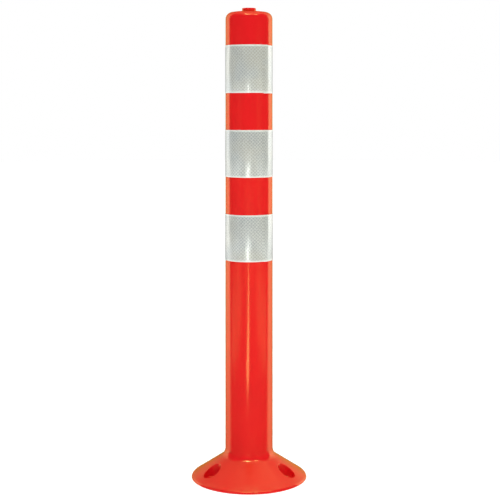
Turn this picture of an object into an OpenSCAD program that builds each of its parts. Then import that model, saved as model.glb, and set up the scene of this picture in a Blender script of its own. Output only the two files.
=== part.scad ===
// Flexible delineator post: a hollow moulded post on a flared foot, with a crown plug and three wrapped bands.
// Millimetres, +Z up. The origin is on the floor at the centre of the foot, and the front faces -Y.

/* [Post] */
// Height of the moulded post, from the floor to the apex of its crown
post_h = 800.6; // [780:0.1:1000]
// Outside radius of the tube at its top, where the crown's round begins
top_r = 39.2; // [37:0.05:41]
// Draft of the tube in degrees, which widens it downwards
draft = 0.16; // [0:0.01:0.3]
// Thickness of the tube's and the crown's wall
wall = 4.5; // [3:0.1:5.5]
// Radius of the crown's shallow dome
crown_r = 214; // [120:1:400]
// Radius of the round between the tube and the crown
crown_round = 11.6; // [8:0.1:15]

/* [Foot] */
// Radius of the foot at its rim
foot_r = 100.4; // [98:0.1:120]
// Slope of the flank above the floor, in degrees
flank_angle = 34; // [28:0.5:35]
// Radius of the round along the rim
rim_round = 6.4; // [6:0.1:10]
// Height of the centre of the rim's round, which may lie a little below the floor
rim_z = -0.45; // [-1:0.05:2]
// Radius of the hollow fillet between the flank and the tube
foot_fillet = 18.5; // [10:0.5:20]
// Thickness of the flank over the pockets under the foot
flank_wall = 6; // [4:0.5:7]
// Width of the solid ring behind the rim
rim_wall = 12; // [9:0.5:14]
// Thickness of each rib under the foot
rib_t = 5; // [3:0.5:8]
// Ribs from one bolt boss to the next, with the one through the boss
ribs_per_bolt = 3; // [2:1:4]

/* [Bolt holes] */
// Number of anchor bolts
bolts = 3; // [3:1:4]
// Radius of the circle that the bolts stand on
bolt_circle_r = 73.5; // [71:0.5:75]
// Turn of the bolt pattern about the post, in degrees
bolt_turn = 1; // [-5:0.5:5]
// Radius of the hole for an M12 anchor bolt
bolt_hole_r = 6.5; // [5:0.1:7]
// Radius of the counterbore for the bolt's head and socket
counterbore_r = 14.4; // [12:0.1:15]
// Thickness of the foot under the bolt's head
counterbore_floor = 6.5; // [5:0.5:9]

/* [Flexing stretches] */
// Height at which the tube starts to flex
flex_z = 60; // [58:1:65]
// Length of tube that each flexing stretch takes
flex_len = 130; // [110:1:135]
// Length of the stiff ring of tube between the two flexing stretches
ring_len = 25; // [15:1:30]

/* [Crown plug] */
// Radius of the plug's head
plug_head_r = 11.6; // [10:0.1:14]
// Height of the head's top above the crown
plug_head_h = 4.75; // [4:0.05:10]
// Radius of the plug's stem and of its hole in the crown
plug_stem_r = 8; // [6:0.1:9]
// Radius of the bead that snaps through the hole
plug_bead_r = 9.2; // [9.2:0.1:10]

/* [Reflective bands] */
// Height of each band
band_h = 78.9; // [60:0.1:85]
// Heights of the bands' upper edges above the floor, from the top band down
band_tops = [743.9, 603.7, 461.9]; // [400:0.1:750]
// Thickness of the sheeting with its adhesive
band_t = 0.5; // [0.3:0.05:0.8]
// Azimuth of the lap seam, in degrees to the right of the front
lap_azimuth = 37; // [0:1:90]
// Width of the lap, as an angle about the post
lap_angle = 16; // [8:1:30]
// How far the outer end of each strip lies below its inner end, from the top band down
lap_steps = [0.9, 0.2, 0.4]; // [0:0.1:2]

/* [Hidden] */
$fn = 180;
past = 1;
sunk = 0.02;
moulding = "#e02622";
sheeting = "#c4c6bf";
ring_z = flex_z + flex_len;
upper_flex_z = ring_z + ring_len;
post_z = upper_flex_z + flex_len;

// crown: a shallow dome, and the round that touches it and meets the tube
dome_c = [0, post_h - crown_r];
round_x = top_r - crown_round;
round_c = [round_x, dome_c.y + sqrt(pow(crown_r - crown_round, 2) - pow(round_x, 2))];
round_angle = acos(round_x / (crown_r - crown_round));
seat_z = post_h - 0.4;

// outside radius of the drafted tube at height z
function outside_r(z) = top_r + (round_c.y - z) * tan(draft);

// rim round, and the height of the flank that leaves it, sunk a hair so that the two cross cleanly
rim_c = [foot_r - rim_round, rim_z];
function flank_z(r) = rim_c.y + (rim_round - sunk) / cos(flank_angle) - (r - rim_c.x) * tan(flank_angle);

// hollow fillet: a circle sunk the same hair into the flank and into the tube
fillet_lift = (foot_fillet - sunk) / cos(flank_angle);
fillet_x = (outside_r(flank_z(0) + fillet_lift) + foot_fillet - sunk) / (1 - tan(draft) * tan(flank_angle));
fillet_c = [fillet_x, flank_z(fillet_x) + fillet_lift];

// a bolt's place, by its number: the azimuth runs from the front towards +X
function bolt_azimuth(i) = bolt_turn + (i + 0.5) * 360 / bolts;

// a point at an angle and a distance from a centre
function polar(c, r, a) = c + r * [cos(a), sin(a)];

// a slice of a disc between two angles
module slice(c, r, from, to) {
    intersection() {
        translate(c)
            circle(r);
        polygon([c, polar(c, 2 * r, from), polar(c, 2 * r, (from + to) / 2), polar(c, 2 * r, to)]);
    }
}

module at_azimuth(a) {
    rotate([0, 0, a - 90])
        children();
}

// a plain stretch of the tube's wall, from z0 up to z1
module tube_stretch(z0, z1) {
    rotate_extrude()
        polygon([
            [outside_r(z0) - wall, z0],
            [outside_r(z0), z0],
            [outside_r(z1), z1],
            [outside_r(z1) - wall, z1]
        ]);
}

// half section of the foot, solid to the axis: rim round, flank, hollow fillet and the start of the tube
module foot_section() {
    intersection() {
        union() {
            polygon([
                [0, -past],
                [rim_c.x, -past],
                [rim_c.x, flank_z(rim_c.x) - rim_round / 2],
                polar(rim_c, rim_round - sunk, 90 - flank_angle),
                polar(fillet_c, foot_fillet - sunk, 270 - flank_angle),
                fillet_c,
                [outside_r(fillet_c.y), fillet_c.y],
                [outside_r(flex_z), flex_z],
                [0, flex_z]
            ]);
            translate(rim_c)
                circle(rim_round);
        }
        difference() {
            square([foot_r + past, flex_z]);
            translate(fillet_c)
                circle(foot_fillet);
        }
    }
}

// the pockets under the flank, with the ribs and bolt bosses left standing
module foot_pockets() {
    drop = flank_wall / cos(flank_angle);
    skirt_r = outside_r(0);
    pocket_r = foot_r - rim_wall;
    boss_r = counterbore_r + rib_t;
    difference() {
        rotate_extrude()
            polygon([
                [skirt_r, -past],
                [pocket_r, -past],
                [pocket_r, flank_z(pocket_r) - drop],
                [skirt_r, flank_z(skirt_r) - drop]
            ]);
        for (i = [0 : bolts - 1])
            at_azimuth(bolt_azimuth(i)) {
                translate([bolt_circle_r, 0, -2 * past])
                    cylinder(r = boss_r, h = flex_z);
                for (k = [0 : ribs_per_bolt - 1])
                    rotate([0, 0, k * 360 / bolts / ribs_per_bolt])
                        translate([0, -rib_t / 2, -2 * past])
                            cube([foot_r, rib_t, flex_z]);
            }
    }
}

module foot_flange() {
    color(moulding)
        difference() {
            rotate_extrude()
                foot_section();
            translate([0, 0, -past])
                cylinder(r1 = outside_r(-past) - wall, r2 = outside_r(flex_z + past) - wall, h = flex_z + 2 * past);
            foot_pockets();
            for (i = [0 : bolts - 1])
                at_azimuth(bolt_azimuth(i))
                    translate([bolt_circle_r, 0, 0]) {
                        translate([0, 0, -past])
                            cylinder(r = bolt_hole_r, h = counterbore_floor + 2 * past);
                        translate([0, 0, counterbore_floor])
                            cylinder(r = counterbore_r, h = flex_z);
                    }
        }
}

module flex_neck_lower() {
    color(moulding)
        tube_stretch(flex_z, ring_z);
}

module neck_ring() {
    color(moulding)
        tube_stretch(ring_z, upper_flex_z);
}

module flex_neck_upper() {
    color(moulding)
        tube_stretch(upper_flex_z, post_z);
}

// half section of the upper post, solid to the axis: drawn in by a thickness, and carried down as far
module crown_section(inset) {
    low_z = post_z - inset;
    polygon([
        [0, low_z],
        [outside_r(low_z) - inset, low_z],
        [top_r - inset, round_c.y],
        [0, round_c.y]
    ]);
    slice(round_c, crown_round - inset, 0, round_angle);
    intersection() {
        translate(dome_c)
            circle(crown_r - inset);
        polygon([[0, round_c.y], round_c, polar(round_c, 2 * crown_round, round_angle), [0, post_h + crown_round]]);
    }
}

module post_tube() {
    color(moulding)
        rotate_extrude()
            difference() {
                crown_section(0);
                crown_section(wall);
                translate([0, post_h - 2 * wall])
                    square([plug_stem_r, 3 * wall]);
                translate([0, seat_z])
                    square([plug_head_r + 0.4, wall]);
            }
}

// push-in plug: a flat head with a rounded edge, a stem through the crown, a snap bead and a tapered nose
module top_plug() {
    edge = 1;
    core_r = 4.5;
    under_z = post_h - wall - 0.5;
    bead_z = under_z - 2;
    nose_z = bead_z - 7;
    top_z = post_h + plug_head_h;
    color(moulding)
        rotate_extrude()
            difference() {
                union() {
                    polygon([
                        [0, nose_z],
                        [plug_stem_r - 2, nose_z],
                        [plug_bead_r, bead_z],
                        [plug_stem_r, under_z],
                        [plug_stem_r, seat_z],
                        [plug_head_r, seat_z],
                        [plug_head_r, top_z - edge],
                        [0, top_z - edge]
                    ]);
                    translate([0, top_z - edge])
                        square([plug_head_r - edge, edge]);
                    intersection() {
                        translate([plug_head_r - edge, top_z - edge])
                            circle(edge);
                        translate([0, top_z - edge])
                            square([plug_head_r, edge]);
                    }
                }
                translate([0, nose_z - past])
                    square([core_r, seat_z - nose_z]);
            }
}

// one wrapped strip: a ring of sheeting on the tube, doubled at the lap, whose outer end sits a little lower
module band(number) {
    top_z = band_tops[number];
    low_z = top_z - band_h;
    step = lap_steps[number];
    color(sheeting)
        union() {
            rotate_extrude()
                polygon([
                    [outside_r(low_z), low_z],
                    [outside_r(low_z) + band_t, low_z],
                    [outside_r(top_z) + band_t, top_z],
                    [outside_r(top_z), top_z]
                ]);
            at_azimuth(lap_azimuth)
                rotate_extrude(angle = lap_angle)
                    polygon([
                        [outside_r(low_z - step) + band_t / 2, low_z - step],
                        [outside_r(low_z - step) + 2 * band_t, low_z - step],
                        [outside_r(top_z - step) + 2 * band_t, top_z - step],
                        [outside_r(top_z - step) + band_t / 2, top_z - step]
                    ]);
        }
}

module reflective_band_upper() {
    band(0);
}

module reflective_band_middle() {
    band(1);
}

module reflective_band_lower() {
    band(2);
}

foot_flange();
flex_neck_lower();
neck_ring();
flex_neck_upper();
post_tube();
top_plug();
reflective_band_upper();
reflective_band_middle();
reflective_band_lower();
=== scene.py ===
import math

import bmesh
import bpy
from mathutils import Matrix, Vector


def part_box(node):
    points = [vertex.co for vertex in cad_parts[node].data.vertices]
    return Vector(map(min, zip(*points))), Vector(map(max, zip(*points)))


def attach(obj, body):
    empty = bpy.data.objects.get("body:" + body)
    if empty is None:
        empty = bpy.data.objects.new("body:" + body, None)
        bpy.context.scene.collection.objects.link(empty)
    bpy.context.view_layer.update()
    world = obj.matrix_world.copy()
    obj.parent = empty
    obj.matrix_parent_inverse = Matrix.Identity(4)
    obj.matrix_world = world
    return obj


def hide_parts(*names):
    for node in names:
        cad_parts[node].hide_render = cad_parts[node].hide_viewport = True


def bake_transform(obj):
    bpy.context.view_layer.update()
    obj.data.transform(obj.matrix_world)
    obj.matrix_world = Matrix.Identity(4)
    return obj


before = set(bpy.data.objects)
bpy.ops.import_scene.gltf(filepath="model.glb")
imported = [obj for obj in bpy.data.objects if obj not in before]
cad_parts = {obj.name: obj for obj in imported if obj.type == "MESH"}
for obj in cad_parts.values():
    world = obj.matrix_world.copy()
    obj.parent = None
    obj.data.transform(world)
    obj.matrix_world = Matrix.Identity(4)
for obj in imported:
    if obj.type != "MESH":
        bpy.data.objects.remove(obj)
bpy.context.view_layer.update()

# ---- Camera -------------------------------------------------------------------------------------
# A long lens two metres in front of the post and a little below its bands, looking slightly down,
# so that the crown is seen almost edge on and the foot as a flat ellipse.

camera = bpy.data.objects.new("camera", bpy.data.cameras.new("camera"))
camera.data.sensor_width = 36
camera.data.lens = 84.1
camera.location = (0.0017, -1.984, 0.6417)
look_down = 6.98
camera.rotation_euler = (math.radians(90 - look_down), 0, 0)
bpy.context.scene.collection.objects.link(camera)
bpy.context.scene.camera = camera
bpy.context.scene.view_settings.view_transform = "Standard"

# ---- Lower moulding -----------------------------------------------------------------------------
# The flared foot and the first flexing stretch of the tube. The whole post is one hollow moulding in
# glossy red polyurethane, held down by three anchor bolts in counterbores and stiffened by ribs below.

neck_low, neck_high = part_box("flex_neck_lower")
ring_low, ring_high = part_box("neck_ring")
split_z = (ring_low.z + ring_high.z) / 2
turning_steps = 240
ring_pitch = 0.004
wall = 0.0045
draft = math.radians(0.16)
flank_angle = math.radians(34)
rim_round = 0.0064
rim_z = -0.00045
floor_edge = 0.0005
fillet = 0.0185
flank_steps = 20
foot_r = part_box("foot_flange")[1].x
rim_x = foot_r - math.sqrt(rim_round ** 2 - rim_z ** 2)

class Outline:
    """The half outline of a turned piece, drawn point after point beside the post's axis."""

    def __init__(self, r, z):
        self.bm = bmesh.new()
        self.tip = self.bm.verts.new((r, 0, z))

    def line(self, r, z, steps=1):
        start = self.tip.co.copy()
        for step in range(1, steps + 1):
            self.tip = bmesh.ops.extrude_vert_indiv(self.bm, verts=[self.tip])["verts"][0]
            self.tip.co = start.lerp(Vector((r, 0, z)), step / steps)
        return self

    def arc(self, r, z, turn, steps):
        made = bmesh.ops.spin(self.bm, geom=[self.tip], cent=(r, 0, z), axis=(0, -1, 0),
                              angle=math.radians(turn), steps=steps)
        self.tip = [v for v in made["geom_last"] if isinstance(v, bmesh.types.BMVert)][0]
        return self

    def turned(self, steps=turning_steps):
        """Turns the outline about the post's axis, with one line of points on the first bolt."""
        bmesh.ops.remove_doubles(self.bm, verts=self.bm.verts, dist=1e-7)
        bmesh.ops.spin(self.bm, geom=self.bm.verts[:] + self.bm.edges[:], cent=(0, 0, 0),
                       axis=(0, 0, 1), angle=math.tau, steps=steps, use_merge=True)
        bmesh.ops.remove_doubles(self.bm, verts=self.bm.verts, dist=1e-6)
        bmesh.ops.rotate(self.bm, verts=self.bm.verts, cent=(0, 0, 0),
                         matrix=Matrix.Rotation(math.radians(bolt_turn - 90), 3, "Z"))
        bmesh.ops.recalc_face_normals(self.bm, faces=self.bm.faces)
        return self.bm


def tube_r(z):
    return neck_high.x + (neck_low.z - z) * math.tan(draft)


def flank_z(r):
    return rim_z + rim_round / math.cos(flank_angle) - (r - rim_x) * math.tan(flank_angle)


bolt_count = 3
bolt_turn = 1
bolt_circle_r = 0.0735
bolt_hole_r = 0.0065
counterbore_r = 0.0144
counterbore_floor = 0.0065
mouth_round = 0.001
fillet_lift = fillet / math.cos(flank_angle)
fillet_x = (tube_r(flank_z(0) + fillet_lift) + fillet) / (1 - math.tan(draft) * math.tan(flank_angle))
fillet_z = flank_z(fillet_x) + fillet_lift
flank_top_r = fillet_x - fillet * math.sin(flank_angle)

rim_start = math.degrees(math.asin((floor_edge - rim_z) / (rim_round - floor_edge)))
rim_edge_x = rim_x + (rim_round - floor_edge) * math.cos(math.radians(rim_start)) + floor_edge

foot = Outline(tube_r(split_z) - wall, split_z)
foot.line(tube_r(neck_low.z) - wall, neck_low.z, round((split_z - neck_low.z) / ring_pitch))
foot.line(tube_r(0) - wall, 0, 3)
foot.line(rim_edge_x - floor_edge, 0, 4)
foot.arc(rim_edge_x - floor_edge, floor_edge, 90 + rim_start, 4)
foot.arc(rim_x, rim_z, 90 - math.degrees(flank_angle) - rim_start, 12)
foot.line(flank_top_r, flank_z(flank_top_r), flank_steps)
foot.arc(fillet_x, fillet_z, math.degrees(flank_angle) - 90, 14)
foot.line(tube_r(neck_low.z), neck_low.z)
foot.line(tube_r(split_z), split_z, round((split_z - neck_low.z) / ring_pitch))
foot.line(tube_r(split_z) - wall, split_z)
foot = foot.turned()


def bolt_place(number):
    azimuth = math.radians(bolt_turn + (number + 0.5) * 360 / bolt_count)
    return Vector((bolt_circle_r * math.sin(azimuth), -bolt_circle_r * math.cos(azimuth), 0))


def ring_inward(bm, edges, place):
    """Extrudes an open ring of edges and moves each new point to where place puts it."""
    made = bmesh.ops.extrude_edge_only(bm, edges=edges)["geom"]
    for vert in [v for v in made if isinstance(v, bmesh.types.BMVert)]:
        vert.co = place(vert.co)
    return [e for e in made if isinstance(e, bmesh.types.BMEdge) and e.is_boundary]


def open_counterbore(bm, centre):
    """Opens the flank round a bolt, leads it to the bore's circle and sinks the bore to its floor."""
    half_angle = math.radians(16.5)
    inner_r, outer_r = 0.0555, 0.0921
    reach = 0.04
    off_flank = 0.0005
    floor_ring_r = 0.0095

    def over_bolt(face):
        middle = face.calc_center_median()
        r = math.hypot(middle.x, middle.y)
        return (inner_r < r < outer_r and abs(middle.z - flank_z(r)) < off_flank
                and middle.xy.angle(centre.xy) < half_angle)

    def on_circle(point, radius):
        spot = centre.xy + (point.xy - centre.xy).normalized() * radius
        return Vector((spot.x, spot.y, flank_z(spot.length)))

    bmesh.ops.delete(bm, geom=[f for f in bm.faces if over_bolt(f)], context="FACES")
    edges = [e for e in bm.edges if e.is_boundary and (e.verts[0].co.xy - centre.xy).length < reach]
    for share in (0.33, 0.5, 0.7, 1):
        def toward_mouth(point):
            spot = point.lerp(on_circle(point, counterbore_r + mouth_round), share)
            return Vector((spot.x, spot.y, flank_z(spot.xy.length)))
        edges = ring_inward(bm, edges, toward_mouth)
    for share in (0.2, 0.4, 0.6, 0.8, 1):
        def round_the_mouth(point):
            brink = on_circle(point, counterbore_r + mouth_round)
            corner = on_circle(point, counterbore_r)
            below = corner - Vector((0, 0, mouth_round))
            return brink.lerp(corner, share).lerp(corner.lerp(below, share), share)
        edges = ring_inward(bm, edges, round_the_mouth)
    floor_round = 0.0012
    for depth in (0.5, 1):
        edges = ring_inward(bm, edges, lambda point: Vector(
            (point.x, point.y, point.z + (counterbore_floor + floor_round - point.z) * depth)))
    for turn in (30, 60, 90):
        swing = math.radians(turn)
        edges = ring_inward(bm, edges, lambda point: Vector((*on_circle(
            point, counterbore_r - floor_round * (1 - math.cos(swing))).xy,
            counterbore_floor + floor_round * (1 - math.sin(swing)))))
    edges = ring_inward(bm, edges, lambda point: Vector(
        (*on_circle(point, floor_ring_r).xy, counterbore_floor)))
    bmesh.ops.contextual_create(bm, geom=edges)


for number in range(bolt_count):
    open_counterbore(foot, bolt_place(number))
bmesh.ops.recalc_face_normals(foot, faces=foot.faces)


def piece_from(bm, name):
    """Makes an object of a finished bmesh, smooth apart from its real edges."""
    mesh = bpy.data.meshes.new(name)
    bm.to_mesh(mesh)
    bm.free()
    piece = bpy.data.objects.new(name, mesh)
    bpy.context.scene.collection.objects.link(piece)
    mesh.shade_smooth()
    mesh.set_sharp_from_angle(angle=math.radians(35))
    return piece


def cut_away(piece, *cutters):
    """Takes the cutters' solids out of a piece and removes them."""
    for cutter in cutters:
        cut = piece.modifiers.new("cut", "BOOLEAN")
        cut.operation = "DIFFERENCE"
        cut.solver = "EXACT"
        cut.use_self = True
        cut.object = cutter
    whole = piece.evaluated_get(bpy.context.evaluated_depsgraph_get())
    piece.data = bpy.data.meshes.new_from_object(whole)
    piece.modifiers.clear()
    for cutter in cutters:
        bpy.data.objects.remove(cutter)
    piece.data.shade_smooth()
    piece.data.set_sharp_from_angle(angle=math.radians(35))
    return piece


flank_wall = 0.006
rim_wall = 0.012
rib_t = 0.005
ribs_per_bolt = 3
overshoot = 0.001
pocket_r = foot_r - rim_wall
pocket_drop = flank_wall / math.cos(flank_angle)
pockets = Outline(tube_r(0), -overshoot)
pockets.line(pocket_r, -overshoot)
pockets.line(pocket_r, flank_z(pocket_r) - pocket_drop)
pockets.line(tube_r(0), flank_z(tube_r(0)) - pocket_drop)
pockets.line(tube_r(0), -overshoot)
pockets = piece_from(pockets.turned(120), "pockets")
left_standing = bmesh.new()
for number in range(bolt_count):
    bmesh.ops.create_cone(
        left_standing, cap_ends=True, segments=72, radius1=counterbore_r + rib_t,
        radius2=counterbore_r + rib_t, depth=neck_low.z,
        matrix=Matrix.Translation(bolt_place(number)))
    for rib in range(ribs_per_bolt):
        azimuth = bolt_turn + (number + 0.5 + rib / ribs_per_bolt) * 360 / bolt_count
        bmesh.ops.create_cube(
            left_standing, size=1,
            matrix=Matrix.Rotation(math.radians(azimuth - 90), 4, "Z")
            @ Matrix.Diagonal((foot_r, rib_t, neck_low.z, 1)) @ Matrix.Translation((0.5, 0, 0)))
cut_away(pockets, piece_from(left_standing, "left_standing"))

bolt_holes = bmesh.new()
for number in range(bolt_count):
    lip = 0.0006
    hole = Outline(0, -overshoot)
    hole.line(bolt_hole_r, -overshoot)
    hole.line(bolt_hole_r, counterbore_floor - lip)
    hole.arc(bolt_hole_r + lip, counterbore_floor - lip, -90, 4)
    hole.line(bolt_hole_r + lip, counterbore_floor + overshoot)
    hole.line(0, counterbore_floor + overshoot)
    hole = hole.turned(48)
    bmesh.ops.translate(hole, verts=hole.verts, vec=bolt_place(number))
    drilled = bpy.data.meshes.new("drilled")
    hole.to_mesh(drilled)
    hole.free()
    bolt_holes.from_mesh(drilled)
    bpy.data.meshes.remove(drilled)
lower_moulding = piece_from(foot, "lower_moulding")
cut_away(lower_moulding, pockets, piece_from(bolt_holes, "bolt_holes"))


class Field:
    """A value that changes over a surface. Sums and products of fields add Math nodes."""

    def __init__(self, shading, socket):
        self.shading = shading
        self.socket = socket

    def math(self, operation, first, second):
        return self.shading.node("Math", {"operation": operation}, {0: first, 1: second})

    def __add__(self, other):
        return self.math("ADD", self, other)

    __radd__ = __add__

    def __sub__(self, other):
        return self.math("SUBTRACT", self, other)

    def __rsub__(self, other):
        return self.math("SUBTRACT", other, self)

    def __mul__(self, other):
        return self.math("MULTIPLY", self, other)

    def __truediv__(self, other):
        return self.math("DIVIDE", self, other)

    def __abs__(self):
        return self.math("ABSOLUTE", self, 0)

    def ramp(self, low, high):
        """0 below low, 1 above high, and a smooth step between them."""
        return self.shading.node("MapRange", {"interpolation_type": "SMOOTHSTEP"},
                                {"Value": self, "From Min": low, "From Max": high})


class Shading:
    """The nodes of one material or of the world, and the one method that adds them."""

    def __init__(self, tree, place="Object"):
        self.tree = tree
        self.place = self.node("TexCoord", output=place)

    def node(self, kind, settings=None, sockets=None, output=0):
        """Adds a node. Its settings are made first, then its sockets get their values or links."""
        made = self.tree.nodes.new("ShaderNode" + kind)
        for name, value in (settings or {}).items():
            setattr(made, name, value)
        for name, value in (sockets or {}).items():
            self.feed(made.inputs[name], value)
        return Field(self, made.outputs[output])

    def feed(self, socket, value):
        if isinstance(value, Field):
            self.tree.links.new(value.socket, socket)
        else:
            socket.default_value = value

    def noise(self, scale, detail=2, roughness=0.5, at=None):
        return self.node("TexNoise", sockets={"Vector": at or self.place, "Scale": scale,
                                              "Detail": detail, "Roughness": roughness})

    def blend(self, share, first, second, way="MIX"):
        """Mixes two colours."""
        return self.node("Mix", {"data_type": "RGBA", "blend_type": way},
                         {0: share, 6: first, 7: second}, output=2)

    def axes(self, at=None):
        """The x, y and z of a place."""
        split = self.node("SeparateXYZ", sockets={"Vector": at or self.place})
        return [Field(self, socket) for socket in split.socket.node.outputs]


class Finish(Shading):
    """A material as it is put together, with its Principled shader."""

    def __init__(self, name):
        self.material = bpy.data.materials.new(name)
        self.material.use_nodes = True
        self.shader = self.material.node_tree.nodes["Principled BSDF"]
        super().__init__(self.material.node_tree)

    def shade(self, **values):
        for name, value in values.items():
            self.feed(self.shader.inputs[name.replace("_", " ")], value)

    def toned(self, colour, tone):
        """A colour made darker or lighter by a value that changes over the surface."""
        grey = self.node("CombineXYZ", sockets={0: tone, 1: tone, 2: tone})
        return self.blend(1.0, colour, grey, "MULTIPLY")

    def relief(self, height, depth, under=None):
        """A bump of that height map, in metres, on top of another bump."""
        sockets = {"Height": height, "Distance": depth, "Strength": 1.0}
        if under:
            sockets["Normal"] = under
        return self.node("Bump", sockets=sockets)


def polyurethane(name, red, orange, gloss):
    """Glossy cast polyurethane: clean red, a touch more orange in random clouds."""
    finish = Finish(name)
    _, y, z = finish.axes()
    clouds = finish.noise(9, 3, 0.55)
    speckle = finish.noise(160, 3, 0.6)
    orange_peel = finish.noise(420, 2, 0.5)
    grime = finish.noise(38, 4, 0.65)
    colour = finish.blend((clouds - 0.5) * 1.1 + 0.35, red, orange)
    tone = clouds * 0.10 + speckle * 0.05 + 0.925
    colour = finish.toned(colour, tone)
    near_floor = 1 - z.ramp(0.0, 0.016)
    dusty = near_floor * grime.ramp(0.42, 0.72) * 0.16
    colour = finish.blend(dusty, colour, (0.42, 0.17, 0.11, 1))
    parting = 1 - abs(y).ramp(0.0, 0.0006)
    scuffs = finish.noise(70, 5, 0.7, at=finish.node(
        "Mapping", sockets={"Vector": finish.place, "Scale": (1, 1, 0.16)})).ramp(0.60, 0.74)
    finish.shade(Base_Color=colour,
                 Roughness=gloss + speckle * 0.05 + scuffs * 0.07 + dusty * 0.9 + parting * 0.05,
                 Normal=finish.relief(parting, 0.00012, finish.relief(
                     clouds * 0.5, 0.0012, finish.relief(orange_peel, 0.000035))),
                 IOR=1.6, Specular_Tint=(1.0, 0.80, 0.32, 1),
                 Coat_Weight=1.0, Coat_IOR=1.0, Coat_Roughness=gloss, Coat_Tint=(1.0, 1.0, 0.78, 1))
    return finish.material


moulded_red = polyurethane("moulded_red", (0.785, 0.0085, 0.021, 1), (0.82, 0.0115, 0.0185, 1), 0.13)
lower_moulding.data.materials.clear()
lower_moulding.data.materials.append(moulded_red)
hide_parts("foot_flange", "flex_neck_lower")
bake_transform(lower_moulding)

# ---- Upper moulding -----------------------------------------------------------------------------
# The rest of the same moulding: the stiff ring, the second flexing stretch and the long plain tube,
# drawn in by its draft and closed by a shallow domed crown with a hole for the plug.

upper_flex_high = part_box("flex_neck_upper")[1]
apex_rise = 0.00034
crown_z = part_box("post_tube")[1].z + apex_rise
crown_r = 0.214
crown_round = 0.0116
top_r = 0.0392
stem_hole_r = 0.008
seat_r = 0.012
seat_depth = 0.0004
seat_z = crown_z - seat_depth
dome_z = crown_z - crown_r
round_x = top_r - crown_round
round_z = dome_z + math.sqrt((crown_r - crown_round) ** 2 - round_x ** 2)
round_turn = math.degrees(math.acos(round_x / (crown_r - crown_round)))


def dome_turn(r, radius):
    """The angle above the horizontal, in degrees, of the dome's point at r."""
    return math.degrees(math.acos(r / radius))


inner_dome_r = crown_r - wall
tube = Outline(tube_r(split_z), split_z)
tube.line(tube_r(ring_high.z), ring_high.z, 3)
tube.line(tube_r(upper_flex_high.z), upper_flex_high.z, round((upper_flex_high.z - ring_high.z) / ring_pitch))
tube.line(top_r, round_z, 24)
tube.arc(round_x, round_z, round_turn, 12)
tube.arc(0, dome_z, dome_turn(seat_r, crown_r) - round_turn, 6)
tube.line(seat_r, seat_z)
tube.line(stem_hole_r, seat_z)
tube.line(stem_hole_r, dome_z + math.sqrt(inner_dome_r ** 2 - stem_hole_r ** 2))
tube.arc(0, dome_z, round_turn - dome_turn(stem_hole_r, inner_dome_r), 6)
tube.arc(round_x, round_z, -round_turn, 8)
tube.line(tube_r(upper_flex_high.z) - wall, upper_flex_high.z, 12)
tube.line(tube_r(ring_high.z) - wall, ring_high.z, round((upper_flex_high.z - ring_high.z) / ring_pitch))
tube.line(tube_r(split_z) - wall, split_z)
tube.line(tube_r(split_z), split_z)
upper_moulding = piece_from(tube.turned(), "upper_moulding")
upper_moulding.data.materials.append(moulded_red)
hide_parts("neck_ring", "flex_neck_upper", "post_tube")
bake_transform(upper_moulding)

# ---- Crown plug ---------------------------------------------------------------------------------
# A push-in plug of the same polyurethane that closes the mould's opening in the crown. Its flat head
# has a rounded edge and a shallow dish, and a bead on its stem snaps behind the crown's wall.

plug_low, plug_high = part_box("top_plug")
head_r = plug_high.x
head_edge = 0.001
stem_r = 0.0078
bead_r = 0.0092
dish_r = 0.0078
dish_depth = 0.0007
gate_r = 0.0013
core_r = 0.0045
core_top = seat_z + 0.0012
head_foot_round = 0.0003

plug = Outline(0, core_top)
plug.line(core_r, core_top)
plug.line(core_r, plug_low.z)
plug.line(stem_r - 0.0018, plug_low.z)
plug.line(bead_r, crown_z - wall - 0.0025)
plug.line(stem_r, crown_z - wall - 0.0005)
plug.line(stem_r, seat_z)
plug.line(head_r - head_foot_round, seat_z)
plug.arc(head_r - head_foot_round, seat_z + head_foot_round, 90, 3)
plug.line(head_r, plug_high.z - head_edge, 2)
plug.arc(head_r - head_edge, plug_high.z - head_edge, 90, 6)
plug.line(dish_r + 0.0006, plug_high.z, 2)
plug.line(dish_r, plug_high.z - dish_depth, 2)
plug.line(gate_r + 0.0003, plug_high.z - dish_depth, 3)
plug.line(gate_r, plug_high.z - dish_depth + 0.0003)
plug.line(gate_r - 0.0002, plug_high.z - 0.0001)
plug.line(0, plug_high.z - 0.0001)
crown_plug = piece_from(plug.turned(96), "crown_plug")
# The plug's red is a lighter copy of the moulding's red: painted light, making up for the light its side gets
# less of.
crown_plug.data.materials.append(
    polyurethane("plug_red_painted_lighter", (0.97, 0.012, 0.024, 1), (0.99, 0.015, 0.021, 1), 0.20))
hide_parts("top_plug")
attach(crown_plug, "post")

# ---- Reflective bands ---------------------------------------------------------------------------
# Three strips of self-adhesive retroreflective sheeting, each wrapped once round the tube and lapped
# over its own start. A lattice of sealed lines stands between its cells, with plain sealed margins.

strip_h = 0.0789
strip_t = 0.0005
seam_azimuth = 37
lap_angle = 16
lift_angle = 4
cell = 0.004
margin = 0.0026
strip_corner = 0.00016
lap_drops = {"upper": 0.0009, "middle": 0.0002, "lower": 0.0004}


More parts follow.
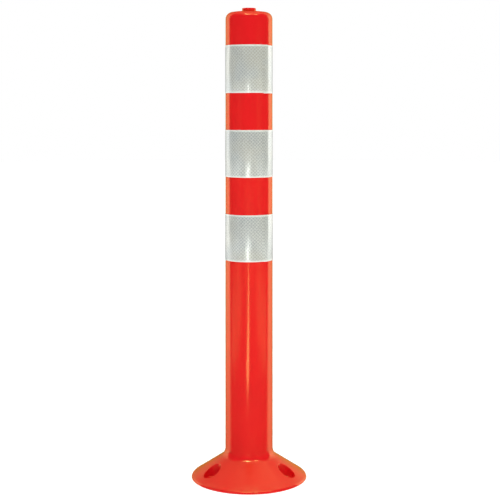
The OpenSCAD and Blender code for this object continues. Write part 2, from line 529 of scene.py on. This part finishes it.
def sheeting(name, low_z, seed):
    """Silver-white prismatic sheeting under a clear glossy film."""
    finish = Finish(name)
    turned = finish.node("Mapping", sockets={
        "Vector": finish.place, "Rotation": (0, 0, math.radians(90 - seam_azimuth + 180))})
    along_x, along_y, z = finish.axes(turned)
    run = finish.node("Math", {"operation": "ARCTAN2"}, {0: along_y, 1: along_x}) * top_r
    rise = z - low_z
    wander = (finish.noise(60, 2, 0.5) - 0.5) * 0.0012

    def lines(across):
        """1 on the lattice's lines, 0 in the middle of its cells."""
        turns = (across + wander) / cell
        beside = abs(finish.node("Math", {"operation": "FRACT"}, {0: turns + 100}) - 0.5)
        return beside.ramp(0.27, 0.45)

    first = lines((run + rise) / math.sqrt(2))
    second = lines((run - rise) / math.sqrt(2))
    lattice = finish.node("Math", {"operation": "MAXIMUM"}, {0: first, 1: second})
    from_edge = strip_h / 2 - abs(rise - strip_h / 2)
    field = from_edge.ramp(margin - 0.0005, margin + 0.0005)
    sealed = 1 - field * (1 - lattice)
    film = finish.noise(14 + seed, 2, 0.5)
    speck = finish.noise(700, 2, 0.5)
    cells = finish.blend(film.ramp(0.35, 0.65), (0.515, 0.553, 0.53, 1), (0.60, 0.60, 0.51, 1))
    colour = finish.blend(sealed, cells, (0.81, 0.84, 0.77, 1))
    tone = speck * 0.10 + finish.noise(45, 3, 0.6) * 0.10 + 0.90
    colour = finish.toned(colour, tone)
    worn = (1 - from_edge.ramp(0.0, 0.0009)) * finish.noise(220, 3, 0.6).ramp(0.45, 0.7)
    colour = finish.blend(worn * 0.35, colour, (0.30, 0.25, 0.21, 1))
    finish.shade(Base_Color=colour, Roughness=0.30 - lattice * 0.06 + speck * 0.08 + worn * 0.2,
                 Metallic=field * 0.35, Coat_Weight=0.6 - worn * 0.3, Coat_Roughness=0.07, IOR=1.5,
                 Normal=finish.relief(sealed, 0.00006, finish.relief(film, 0.0004)))
    return finish.material


def wrapped_strip(node, body, lap_drop):
    """Winds one strip clockwise from under its lap, up over its own start and down by its drop."""
    low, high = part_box(node)
    top_z = high.z
    low_z = top_z - strip_h
    start = math.radians(seam_azimuth + lap_angle - 90)
    outward = Vector((math.cos(start), math.sin(start), 0))
    bm = bmesh.new()
    skin = 0.00003
    corners = [outward * (tube_r(z) + out) + Vector((0, 0, z))
               for out, z in ((skin, low_z), (skin + strip_t, low_z), (skin + strip_t, top_z), (skin, top_z))]
    section = bm.faces.new([bm.verts.new(corner) for corner in corners])
    bmesh.ops.bevel(bm, geom=section.verts[:], affect="VERTICES", offset=strip_corner, segments=2,
                    profile=0.5, material=-1)
    whole_angle = 360 + lap_angle
    end = bm.verts[:] + bm.edges[:] + bm.faces[:]
    for angle, lift in ((360 - lift_angle, 0), (lift_angle, strip_t), (lap_angle, 0)):
        steps = round(angle / 1.5)
        made = bmesh.ops.spin(
            bm, geom=end, cent=(0, 0, 0), axis=(0, 0, 1), angle=math.radians(-angle), steps=steps,
            dvec=outward * lift / steps - Vector((0, 0, lap_drop * angle / whole_angle / steps)))
        end = made["geom_last"]
        outward = Matrix.Rotation(math.radians(-angle), 3, "Z") @ outward
    bmesh.ops.recalc_face_normals(bm, faces=bm.faces)
    strip = piece_from(bm, node.replace("reflective_band", "sheeting_strip"))
    strip.data.materials.append(sheeting("sheeting_" + node.split("_")[-1], low_z, round(low_z * 10)))
    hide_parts(node)
    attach(strip, body)


for position, drop in lap_drops.items():
    wrapped_strip("reflective_band_" + position, "post", drop)

# ---- Floor and light ----------------------------------------------------------------------------
# A plain white floor, glowing more with distance, in a white tent that is dim towards the camera. Two
# boxes overhead and the lit floor only make highlights; the fills above, beside and below only spread.

floor_bm = bmesh.new()
bmesh.ops.create_circle(floor_bm, cap_ends=True, segments=96, radius=12)
floor = piece_from(floor_bm, "floor")
paper = Finish("paper")
along_x, along_y, _ = paper.axes()
far = paper.node("Math", {"operation": "SQRT"}, {0: along_x * along_x + along_y * along_y}).ramp(0.9, 5.0)
glow = paper.blend(far, (0.35, 0.35, 0.35, 1), (0.72, 0.72, 0.72, 1))
paper.shade(Base_Color=(0.93, 0.93, 0.93, 1), Roughness=0.9 + paper.noise(3) * 0.05,
            Emission_Color=glow, Emission_Strength=1.0, Specular_IOR_Level=0.0)
floor.data.materials.append(paper.material)
floor.location.z = -0.0002
floor.visible_glossy = False


def softbox(name, place, target, width, height, radiance, mirrored=True, spread=True, colour=(1, 1, 1)):
    """A soft lamp of that size and brightness, turned to face the target."""
    lamp = bpy.data.objects.new(name, bpy.data.lights.new(name, "AREA"))
    lamp.data.shape = "RECTANGLE"
    lamp.data.size = width
    lamp.data.size_y = height
    lamp.data.energy = radiance * math.pi * width * height
    lamp.data.color = colour
    lamp.location = place
    lamp.rotation_euler = (Vector(target) - Vector(place)).to_track_quat("-Z", "Y").to_euler()
    lamp.visible_camera = False
    lamp.visible_glossy = mirrored
    lamp.visible_diffuse = spread
    bpy.context.scene.collection.objects.link(lamp)


softbox("overhead_left", (-0.40, -1.96, 4.2), (0, 0, 0.1), 1.4, 0.5, 28, spread=False)
softbox("overhead_right", (1.90, -1.80, 4.2), (0, 0, 0.1), 1.0, 0.5, 13, spread=False)
softbox("top_fill", (0.1, -0.3, 3.0), (0.1, -0.3, 0), 2.0, 2.0, 3.8, mirrored=False)
softbox("left_fill", (-1.2, -1.0, 0.40), (0, 0, 0.30), 0.7, 0.9, 1.45, mirrored=False,
        colour=(0.82, 0.93, 1.15))
softbox("right_fill", (1.2, -1.0, 0.40), (0, 0, 0.30), 0.7, 0.9, 2.05, mirrored=False,
        colour=(1.0, 0.97, 0.84))
softbox("low_fill", (0, -0.80, 0.33), (0, 0, 0.33), 0.8, 0.3, 1.6, mirrored=False)
softbox("floor_strip", (-0.09, -1.80, 0.005), (-0.09, -1.80, 1), 0.15, 2.1, 8.0, spread=False)
for side in (-1, 1):
    softbox("floor_sheet", (1.6 * side, -0.9, 0.004), (1.6 * side, -0.9, 1), 1.4, 1.8, 0.7, spread=False)

tent = bpy.data.worlds.new("tent")
bpy.context.scene.world = tent
tent.use_nodes = True
front_light, rear_light, side_light, right_gain, top_light = 0.10, 0.31, 1.9, 1.3, 0.70
panel_edge = math.radians(68)
panel_softness = 0.03
sky = Shading(tent.node_tree, "Generated")
x, y, z = sky.axes()
ahead = y / sky.node("Math", {"operation": "SQRT"}, {0: x * x + y * y + 0.0001})
turn = sky.node("Math", {"operation": "ARCCOSINE"}, {0: ahead})
panel = turn * turn * (side_light / panel_edge ** 2) + rear_light
to_right = x.ramp(-0.2, 0.2)
low_fade = z.ramp(-0.32, to_right * 0.16 - 0.12) * 0.5 + 0.5
high_fade = 1 - z.ramp(0.25, 0.7) * 0.55
panel = panel * (to_right * (right_gain - 1) + 1) * low_fade * high_fade
reach = (1 - z.ramp(-0.3, 0.0)) * 0.35 + panel_edge
behind = 1 - turn.ramp(panel_edge - panel_softness, reach + panel_softness)
level = behind * (panel - front_light) + front_light
overhead = z.ramp(0.78, 0.86)
level = overhead * ((x.ramp(0.1, 0.6) + 1) * top_light - level) + level
seen = sky.node("LightPath", output="Is Camera Ray")
sky.feed(tent.node_tree.nodes["Background"].inputs["Color"], (1, 1, 1, 1))
sky.feed(tent.node_tree.nodes["Background"].inputs["Strength"], seen * (1 - level) + level)
